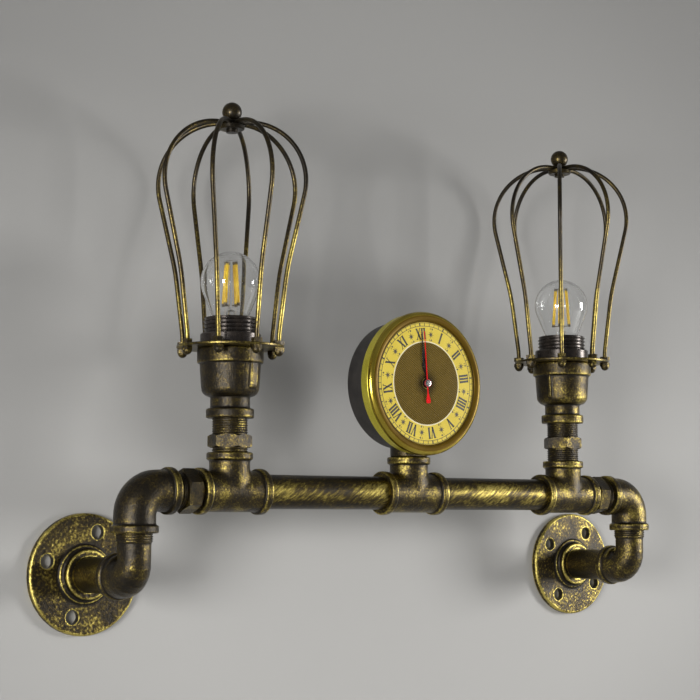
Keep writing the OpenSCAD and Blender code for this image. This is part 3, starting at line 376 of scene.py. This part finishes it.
def one_sided(name, low, high, heights, painted_light_pool=None, gaps=()):
    """Stage surface that shows only its front, so that the other side of the object can be seen.

    low and high are its colours at the two heights; on the wall this is painted shade, darker towards the
    top.
    painted_light_pool is the middle of a painted lighter area round the object, its inner and outer radius
    and the share of tone lost outside it as painted shade.
    gaps are round places, each by its middle and radius, that stop only the camera's rays, so that light
    reaches the back of what stands there."""
    t = Tree(name)
    tone = t.noise(2.2, 3.0, 0.6)
    fine = t.noise(420.0, 3.0, 0.6)
    t.bump(fine, 0.05, 0.0005)
    # Painted shade by height: on the wall, darker towards the top.
    painted_height_shade = t.span(t.axis(2), *heights)
    colour = t.mix(t.math("MULTIPLY_ADD", tone, 0.12, painted_height_shade), low, high)
    # Painted light: lighter round the middle, darker further out.
    if painted_light_pool:
        x, z, inner, outer, loss = painted_light_pool
        colour = t.mix(t.span(t.reach(x, z), inner, outer, 0.0, loss), colour, (0.0, 0.0, 0.0))
    t.set(Base_Color=colour, Roughness=0.85)
    unseen = t.add("ShaderNodeNewGeometry").outputs["Backfacing"]
    for x, z, radius in gaps:
        seen = t.add("ShaderNodeLightPath").outputs["Is Camera Ray"]
        let_through = t.math("SUBTRACT", t.math("LESS_THAN", t.reach(x, z), radius), seen)
        unseen = t.math("MAXIMUM", unseen, let_through)
    clear = t.add("ShaderNodeBsdfTransparent")
    pick = t.add("ShaderNodeMixShader")
    t.link(unseen, pick.inputs[0])
    t.link(t.bsdf.outputs[0], pick.inputs[1])
    t.link(clear.outputs[0], pick.inputs[2])
    t.link(pick.outputs[0], t.out.inputs["Surface"])
    return t.material


# ---------------------------------------------------------------- mesh helpers

def linked(name, mesh):
    obj = bpy.data.objects.new(name, mesh)
    scene.collection.objects.link(obj)
    return obj


def stage_plane(name, corners, material):
    mesh = bpy.data.meshes.new(name)
    mesh.from_pydata(corners, [], [tuple(range(len(corners)))])
    mesh.update()
    mesh.materials.append(material)
    linked(name, mesh)


def closed_piece(name, verts, faces, material, body=FRAME_BODY, smooth=False):
    """A closed mesh whose faces are turned outwards, riding on a body."""
    mesh = bpy.data.meshes.new(name)
    mesh.from_pydata(verts, [], faces)
    mesh.update()
    mesh.polygons.foreach_set("use_smooth", [smooth] * len(mesh.polygons))
    mesh.materials.append(material)
    bm = bmesh.new()
    bm.from_mesh(mesh)
    bmesh.ops.recalc_face_normals(bm, faces=bm.faces)
    bm.to_mesh(mesh)
    bm.free()
    mesh.update()
    obj = linked(name, mesh)
    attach(obj, body)


def tube_faces(rows, around):
    """Faces of a closed tube: rings joined in order, and the last ring to the first."""
    ends = [(r * around, (r + 1) % rows * around) for r in range(rows)]
    return [(a + i, a + (i + 1) % around, b + (i + 1) % around, b + i)
            for a, b in ends for i in range(around)]


def neighbour_mean(values, edges):
    """For each vertex, the mean of the values at its neighbours."""
    total = np.zeros_like(values)
    np.add.at(total, edges[:, 0], values[edges[:, 1]])
    np.add.at(total, edges[:, 1], values[edges[:, 0]])
    degree = np.bincount(edges.ravel(), minlength=len(values)).astype(float)
    degree[degree == 0] = 1.0
    return total / (degree[:, None] if values.ndim > 1 else degree)


def read_vectors(vertices, key):
    flat = np.zeros(len(vertices) * 3, np.float32)
    vertices.foreach_get(key, flat)
    return flat.reshape(-1, 3).astype(float)


def read_edges(mesh):
    flat = np.zeros(len(mesh.edges) * 2, np.int32)
    mesh.edges.foreach_get("vertices", flat)
    return flat.reshape(-1, 2)


def write_points(mesh, co):
    mesh.vertices.foreach_set("co", co.astype(np.float32).ravel())


# ---------------------------------------------------------------- stage, in metres

HALF_WIDTH = 4
FRONT_Y, WALL_Y = -5, 0.0004
FLOOR_Z, TOP_Z = -0.32, 3.0
GAP_MARGIN = 3 * MM


def flange_gap(side):
    """Middle and radius of the wall behind a flange, a little smaller than the flange."""
    low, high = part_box("flange_" + side)
    return (low[0] + high[0]) / 2, (low[2] + high[2]) / 2, (high[0] - low[0]) / 2 - GAP_MARGIN


def ends_at(y, z):
    """Left and right end of the stage at a depth and height."""
    return [(-HALF_WIDTH, y, z), (HALF_WIDTH, y, z)]


make_camera()
make_lights()
# The wall's colour holds painted shade, darker towards the top and towards the edges, round a painted
# lighter area.
wall_paint_and_shade = one_sided("wall_paint_and_shade", (0.395, 0.391, 0.383), (0.245, 0.243, 0.238), (-0.10, 0.50),
                       painted_light_pool=(0.06, 0.15, 0.28, 0.62, 0.30), gaps=[flange_gap(side) for side, _ in SIDES])
floor_paint = one_sided("floor_paint", (0.60, 0.60, 0.59), (0.64, 0.64, 0.63), (-1.0, 1.0))
stage_plane("wall", ends_at(WALL_Y, FLOOR_Z) + ends_at(WALL_Y, TOP_Z)[::-1], wall_paint_and_shade)
stage_plane("floor", ends_at(FRONT_Y, FLOOR_Z) + ends_at(WALL_Y, FLOOR_Z)[::-1], floor_paint)

# ---------------------------------------------------------------- materials

dark_cast = patina("dark_cast", -0.02)
worn_cast = patina("worn_cast", 0.08)
flange_cast = patina("flange_cast", 0.07, patch=60.0, bump=0.60, wear_gain=0.34, width=0.52)
# The bar's gold is lowered above and below its middle: a painted highlight along the middle, with painted
# shade on top and underneath.
pipe_paint = patina("pipe_paint", 0.17, patch=70.0, stretch=(0.35, 1.0, 1.0), bump=0.12, width=0.52,
                    slant=38.0, painted_light_falls=((0.049, 0.060, -0.20, 0.0), (0.068, 0.077, 0.0, -0.20)))
stub_paint = patina("stub_paint", 0.06, stretch=(1.0, 0.35, 1.0), bump=0.12)
brass_rub = patina("brass_rub", 0.05, patch=90.0, width=0.50, rough=(0.33, 0.48))
thread_paint = patina("thread_paint", 0.00, grain=1800.0)
# The wires get more gold low down and less at the top: painted light below, painted shade above.
wire_paint = patina("wire_paint", 0.06, patch=60.0, stretch=(1.0, 1.0, 0.3), bump=0.08,
                    painted_light_falls=((0.20, 0.34, 0.10, -0.06),))
nut_paint = patina("nut_paint", 0.08, patch=200.0)
holder_black = smooth_finish("holder_black", (0.022, 0.018, 0.016), (0.046, 0.037, 0.031), 0.65,
                             (0.22, 0.34))
shell_nickel = smooth_finish("shell_nickel", (0.55, 0.54, 0.51), (0.66, 0.65, 0.62), 1.0, (0.22, 0.35))
contact_brass = smooth_finish("contact_brass", (0.50, 0.36, 0.10), (0.60, 0.45, 0.15), 1.0, (0.25, 0.40))
bulb_clear = clear_glass("bulb_clear")
lens_clear = clear_pane("lens_clear")
amber = amber_coat("amber")
drum_dark = smooth_finish("drum_dark", (0.024, 0.022, 0.021), (0.044, 0.040, 0.037), 0.45, (0.35, 0.50),
                          scale=55.0)
bezel_brass = ringed_brass("bezel_brass")
dial_gold = smooth_finish("dial_gold", (0.71, 0.545, 0.048), (0.77, 0.60, 0.068), 0.0, (0.40, 0.52),
                          scale=60.0, bump=0.03, gloss=0.2)
movement_black = smooth_finish("movement_black", (0.016, 0.016, 0.017), (0.028, 0.028, 0.030), 0.0,
                               (0.40, 0.55))
can_steel = smooth_finish("can_steel", (0.40, 0.41, 0.42), (0.50, 0.51, 0.52), 1.0, (0.25, 0.4),
                          stretch=(0.2, 1, 1))
hand_black = smooth_finish("hand_black", (0.006, 0.006, 0.006), (0.012, 0.012, 0.012), 0.0, (0.22, 0.35),
                           gloss=0.15)
hand_red = smooth_finish("hand_red", (0.70, 0.004, 0.005), (0.80, 0.006, 0.008), 0.0, (0.25, 0.38),
                         gloss=0.06)
lead_black = smooth_finish("lead_black", (0.014, 0.014, 0.014), (0.024, 0.024, 0.024), 0.0, (0.5, 0.65))
print_black = smooth_finish("print_black", (0.008, 0.007, 0.006), (0.016, 0.013, 0.010), 0.0, (0.4, 0.55))
print_brown = smooth_finish("print_brown", (0.030, 0.022, 0.006), (0.060, 0.043, 0.010), 0.0, (0.4, 0.55))
print_cream = smooth_finish("print_cream", (0.80, 0.72, 0.42), (0.86, 0.78, 0.50), 0.0, (0.4, 0.5))
disc_brown = woven_disc("disc_brown")
cap_steel = smooth_finish("cap_steel", (0.20, 0.20, 0.20), (0.30, 0.30, 0.30), 1.0, (0.2, 0.32))

NODE_LOOKS = {
    "flange": flange_cast, "stub_pipe": stub_paint, "street_elbow": dark_cast, "elbow": dark_cast,
    "bar_nipple": worn_cast, "tee": worn_cast, "bar_pipe": pipe_paint, "riser_nipple": brass_rub,
    "lamp_cup": worn_cast, "holder": holder_black, "holder_shell": shell_nickel,
    "holder_contact": contact_brass, "ring_nut": holder_black, "cage_plate": wire_paint,
    "cage_wires": wire_paint, "cage_nuts": nut_paint, "cage_crown": wire_paint, "cage_finial": wire_paint,
    "bulb_glass": bulb_clear, "bulb_cap": shell_nickel, "bulb_stem": bulb_clear, "bulb_filaments": amber,
    "clock_case": drum_dark, "clock_stem": dark_cast, "clock_bezel": bezel_brass,
    "clock_lens": lens_clear, "clock_dial": dial_gold, "clock_movement": movement_black,
    "clock_battery": can_steel, "setting_knob": movement_black, "hour_hand": hand_black,
    "minute_hand": hand_black, "second_hand": hand_red, "lead": lead_black,
}


def dress_nodes():
    for name, obj in nodes.items():
        family = name
        for end in ("_left", "_right", "_middle"):
            family = family.removesuffix(end)
        obj.data.materials.clear()
        obj.data.materials.append(NODE_LOOKS[family])
        obj.data.polygons.foreach_set("use_smooth", [True] * len(obj.data.polygons))


dress_nodes()

# ---------------------------------------------------------------- castings

WELD = 1e-6
VOXEL = 0.6 * MM
SOFTEN_ROUNDS = 3
REGAIN_ROUNDS = 2           # the last rounds, which win back the size that softening loses
SOFTEN, REGAIN = 0.55, 0.57
SADDLE_X, SADDLE_Z, SADDLE_FADE = 18.0, 9.0, 4.0
SADDLE_ROUNDS = 90
SADDLE_SOFTEN = 0.5
LUMP_SCALE = 420.0
CAST_LUMP, FLANGE_LUMP = 0.08 * MM, 0.13 * MM
SEED_STEP = 7.3
WEAR_ROUNDS = 2
FULL_WEAR = 0.030 * MM


def voxel_skin(node):
    """A fine even mesh of a CAD node."""
    temp = linked(node + "_temp", nodes[node].data.copy())
    temp.modifiers.new("weld", "WELD").merge_threshold = WELD
    remesh = temp.modifiers.new("remesh", "REMESH")
    remesh.mode = "VOXEL"
    remesh.voxel_size = VOXEL
    solved = temp.evaluated_get(bpy.context.evaluated_depsgraph_get())
    mesh = bpy.data.meshes.new_from_object(solved)
    bpy.data.objects.remove(temp)
    mesh.name = node + "_casting"
    return mesh


def soften(co, edges, saddle):
    """Rounds edges and inner corners, and gives the foot of a branch at saddle a wide fillet."""
    for i in range(SOFTEN_ROUNDS):
        co += SOFTEN * (neighbour_mean(co, edges) - co)
        if i >= SOFTEN_ROUNDS - REGAIN_ROUNDS:
            co -= REGAIN * (neighbour_mean(co, edges) - co)
    if saddle:
        away = np.abs(co - np.array(saddle)) / MM
        near = np.clip((SADDLE_X - away[:, 0]) / SADDLE_FADE, 0, 1)
        near *= np.clip((SADDLE_Z - away[:, 2]) / SADDLE_FADE, 0, 1)
        for _ in range(SADDLE_ROUNDS):
            co += (SADDLE_SOFTEN * near)[:, None] * (neighbour_mean(co, edges) - co)


def cast_piece(node, material, lump, seed, saddle):
    """The casting's skin: the CAD form, softened and a little lumpy as from a sand mould.

    Its attribute wear is 1 on sharp edges, where the paint is rubbed, and -1 in sharp corners."""
    mesh = voxel_skin(node)
    co, edges = read_vectors(mesh.vertices, "co"), read_edges(mesh)
    soften(co, edges, saddle)
    write_points(mesh, co)
    mesh.update()
    normal = read_vectors(mesh.vertices, "normal")
    start = Vector((seed, 0, 0))
    shift = np.array([noise.noise(Vector(p) * LUMP_SCALE + start) for p in co])
    co += normal * (shift * lump)[:, None]
    write_points(mesh, co)
    bend = -np.einsum("ij,ij->i", neighbour_mean(co, edges) - co, normal)
    for _ in range(WEAR_ROUNDS):
        bend = 0.5 * bend + 0.5 * neighbour_mean(bend, edges)
    wear = np.clip(bend / FULL_WEAR, -1.0, 1.0).astype(np.float32)
    mesh.attributes.new("wear", "FLOAT", "POINT").data.foreach_set("value", wear)
    mesh.polygons.foreach_set("use_smooth", [True] * len(mesh.polygons))
    mesh.materials.clear()
    mesh.materials.append(material)
    mesh.update()
    obj = linked(node + "_casting", mesh)
    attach(obj, FRAME_BODY)
    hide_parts(node)


CASTINGS = (("flange_left", flange_cast), ("flange_right", flange_cast),
            ("street_elbow_left", dark_cast), ("street_elbow_right", worn_cast),
            ("elbow_left", dark_cast), ("elbow_right", worn_cast),
            ("tee_left", worn_cast), ("tee_middle", worn_cast), ("tee_right", worn_cast),
            ("lamp_cup_left", dark_cast), ("lamp_cup_right", worn_cast))
BRANCH_X = {"tee_left": -LAMP_X, "tee_middle": 0.0, "tee_right": LAMP_X}
for index, (node, look) in enumerate(CASTINGS):
    branch = (BRANCH_X[node] * MM, -BAR_OUT * MM, BRANCH_Z * MM) if node in BRANCH_X else None
    cast_piece(node, look, FLANGE_LUMP if look == flange_cast else CAST_LUMP, SEED_STEP * index, branch)

# ---------------------------------------------------------------- threads

# Root and crest radius, pitch, and how flat the crest is.
PIPE_THREAD = (13.1, 13.85, 1.81, 1.45)
HOLDER_THREAD = (19.7, 20.95, 3.0, 1.2)
THREAD_WALL = 0.8
THREAD_AROUND = 72
STEPS_A_PITCH = 12
RUN_OUT = 0.6
FLANK = 4.2

# Where the bare threads start and end: up from the tee's rim, the flange's axis or the cup's rim, or
# out along the bar.
RISERS = {"left": ((0.0, 3.5), (13.5, 26.1)), "right": ((0.0, 11.0), (21.0, 33.6))}
RISER_GAP = 0.1
STREET_RUN = (25.6, 31.9)
NIPPLE_RUN = (221.5, 228.4)
HOLDER_RUN = (11.7, 23.8)


def upright(x, z):
    """Local z up, on an axis at x and from the height z."""
    return lambda a, b, c: ((x + a) * MM, (b - BAR_OUT) * MM, (z + c) * MM)


def along_bar(sign):
    """Local z along the bar, outwards on the given side."""
    return lambda a, b, c: (sign * c * MM, (b - BAR_OUT) * MM, (BAR_Z + a) * MM)


def thread_sleeve(name, place, low, high, size, material, slot):
    """Helical thread along local z, closed inside.

    place takes local millimetres to the row frame in metres."""
    root, crest, pitch, flat = size
    steps = max(6, int((high - low) / pitch * STEPS_A_PITCH))
    angles = [2 * math.pi * i / THREAD_AROUND for i in range(THREAD_AROUND)]

    def thread_radius(z, a):
        fade = min(1.0, (z - low) / RUN_OUT, (high - z) / RUN_OUT)
        t = (z / pitch - a / (2 * math.pi)) % 1.0
        tooth = min(1.0, max(0.0, flat - abs(t - 0.5) * FLANK))
        return root + (crest - root) * tooth * max(fade, 0.0)

    def ring(z, radii):
        return [place(r * math.cos(a), r * math.sin(a), z) for r, a in zip(radii, angles)]

    inside = [root - THREAD_WALL] * THREAD_AROUND
    verts = ring(low, inside)
    for k in range(steps + 1):
        z = low + (high - low) * k / steps
        verts += ring(z, [thread_radius(z, a) for a in angles])
    verts += ring(high, inside)
    closed_piece(name, verts, tube_faces(steps + 3, THREAD_AROUND), material, smooth=True)


def pipe_thread(name, place, low, high):
    thread_sleeve(name, place, low, high, PIPE_THREAD, thread_paint, "cast_bronze")


for side, sign in SIDES:
    for number, (low, high) in enumerate(RISERS[side], 1):
        pipe_thread(f"riser_thread_{side}_{number}", upright(sign * LAMP_X, TEE_TOP),
                    low + RISER_GAP, high - RISER_GAP)
    pipe_thread(f"street_thread_{side}", upright(sign * FLANGE_X, 0.0), *STREET_RUN)
    pipe_thread(f"nipple_thread_{side}", along_bar(sign), *NIPPLE_RUN)
    thread_sleeve(f"holder_thread_{side}", upright(sign * LAMP_X, CUP_RIM[side]), *HOLDER_RUN,
                  HOLDER_THREAD, holder_black, "holder_black")

# ---------------------------------------------------------------- clock dial

PRINT_GAP, PRINT_T = 0.01, 0.06
PRINT_LOW = DIAL_FRONT + PRINT_GAP
PRINT_HIGH = PRINT_LOW + PRINT_T
RING_AROUND, CAP_AROUND = 160, 48

# Letters of the numerals, from their feet.
GLYPH_H = 9.4
THICK, THIN, SERIF = 1.65, 0.72, 0.55
GLYPH_W = {"I": 2.5, "V": 5.6, "X": 5.6}
NUMERALS = ("XII", "I", "II", "III", "IIII", "V", "VI", "VII", "VIII", "IX", "X", "XI")
NUMERAL_FOOT = 36.2

FLORET_R = 40.8
STAR = (3.4, 1.05, 2.8, 1.05) * 4
LEAF_GAP = 1.9
LEAF_FOOT, LEAF_WAIST, LEAF_TIP, LEAF_HALF_W = 3.6, 4.6, 5.7, 0.6

TICK_FOOT, TICK_H = 47.4, 2.5
TICK_W, HOUR_TICK_W = 0.5, 1.15

# Radius and height above the dial.
CAP = ((0.05, 1.66), (3.35, 1.66), (3.35, 2.2), (2.9, 2.6), (2.0, 2.75), (0.05, 2.78))


def on_dial(x, y, out):
    """Point of the turned dial, in millimetres, in the row frame."""
    c, s = math.cos(CLOCK_TURN), math.sin(CLOCK_TURN)
    return ((x * c - y * s) * MM, -out * MM, (CLOCK_Z + x * s + y * c) * MM)


def lathe(name, profile, material, body, around):
    """Ring turned about the clock's axis from points of radius and distance from the wall."""
    verts = []
    for r, out in profile:
        for i in range(around):
            a = 2 * math.pi * i / around
            verts.append(on_dial(r * math.cos(a), r * math.sin(a), out))
    closed_piece(name, verts, tube_faces(len(profile), around), material, body)


def printed_ring(name, inner, outer, material):
    profile = [(inner, PRINT_LOW), (outer, PRINT_LOW), (outer, PRINT_HIGH), (inner, PRINT_HIGH)]
    lathe(name, profile, material, FRAME_BODY, RING_AROUND)


def printed(name, outlines, material):
    """Printed shapes as thin plates."""
    verts, faces = [], []
    for outline in outlines:
        base, n = len(verts), len(outline)
        for out in (PRINT_LOW, PRINT_HIGH):
            verts.extend(on_dial(x, y, out) for x, y in outline)
        faces.append(tuple(range(base + n - 1, base - 1, -1)))
        faces.append(tuple(range(base + n, base + 2 * n)))
        for i in range(n):
            j = (i + 1) % n
            faces.append((base + i, base + j, base + n + j, base + n + i))
    closed_piece(name, verts, faces, material)


def turned(outline, clockwise, radius):
    """Moves an outline out to a radius and round the dial, clockwise in degrees from the top."""
    a = math.radians(-clockwise)
    c, s = math.cos(a), math.sin(a)
    return [(x * c - (y + radius) * s, x * s + (y + radius) * c) for x, y in outline]


def bar(x0, y0, x1, y1, width):
    """Stroke between two heights, cut level at both ends."""
    h = width / 2
    return [(x0 - h, y0), (x0 + h, y0), (x1 + h, y1), (x1 - h, y1)]


def serif(x, y, width):
    """Cross stroke at a letter's foot or head."""
    low = y - SERIF if y > GLYPH_H / 2 else y
    return bar(x, low, x, low + SERIF, width)


def glyph(letter, x):
    """Strokes of a letter whose middle is at x."""
    h = GLYPH_H
    if letter == "I":
        return [bar(x, 0, x, h, THICK), serif(x, 0, 2.2), serif(x, h, 2.2)]
    if letter == "V":
        return [bar(x + 0.25, 0, x - 1.7, h, THICK), bar(x + 0.15, 0, x + 1.8, h, THIN),
                serif(x - 1.7, h, 2.2), serif(x + 1.8, h, 1.7)]
    left, right = x - 1.75, x + 1.75
    return [bar(right, 0, left, h, THICK), bar(left, 0, right, h, THIN), serif(left, h, 2.1),
            serif(right, h, 1.7), serif(left, 0, 1.7), serif(right, 0, 2.1)]


def numeral_outlines():
    found = []
    for hour, word in enumerate(NUMERALS):
        x = -sum(GLYPH_W[c] for c in word) / 2
        for c in word:
            found += [turned(o, 30 * hour, NUMERAL_FOOT) for o in glyph(c, x + GLYPH_W[c] / 2)]
            x += GLYPH_W[c]
    return found


def floret():
    """Star of eight rays, with two leaves above it and two below."""
    star = []
    for k, r in enumerate(STAR):
        a = math.radians(22.5 * k)
        star.append((r * math.cos(a), r * math.sin(a)))
    shapes = [star]
    for end in (-1, 1):
        for lean in (-LEAF_GAP / 2, LEAF_GAP / 2):
            leaf = [(lean, end * LEAF_FOOT), (lean * 1.5 + LEAF_HALF_W, end * LEAF_WAIST),
                    (lean * 0.6, end * LEAF_TIP), (lean * 0.9 - LEAF_HALF_W, end * LEAF_WAIST)]
            shapes.append(leaf if end > 0 else leaf[::-1])
    return shapes


def floret_outlines():
    """A floret at each half hour."""
    return [turned(shape, 30 * hour + 15, FLORET_R) for hour in range(12) for shape in floret()]


def tick_outlines():
    found = []
    for minute in range(60):
        width = TICK_W if minute % 5 else HOUR_TICK_W
        found.append(turned(bar(0, 0, 0, TICK_H, width), 6 * minute, TICK_FOOT))
    return found


printed_ring("dial_disc", 4.4, 34.0, disc_brown)
printed_ring("dial_cream_ring", 34.0, 34.9, print_cream)
printed_ring("dial_line_inner", 47.1, 47.5, print_black)
printed_ring("dial_line_outer", 49.75, 50.1, print_black)
printed("dial_numerals", numeral_outlines(), print_black)
printed("dial_ticks", tick_outlines(), print_black)
printed("dial_florets", floret_outlines(), print_brown)
lathe("second_hand_cap", [(r, DIAL_FRONT + out) for r, out in CAP], cap_steel,
      "second_hand", CAP_AROUND)
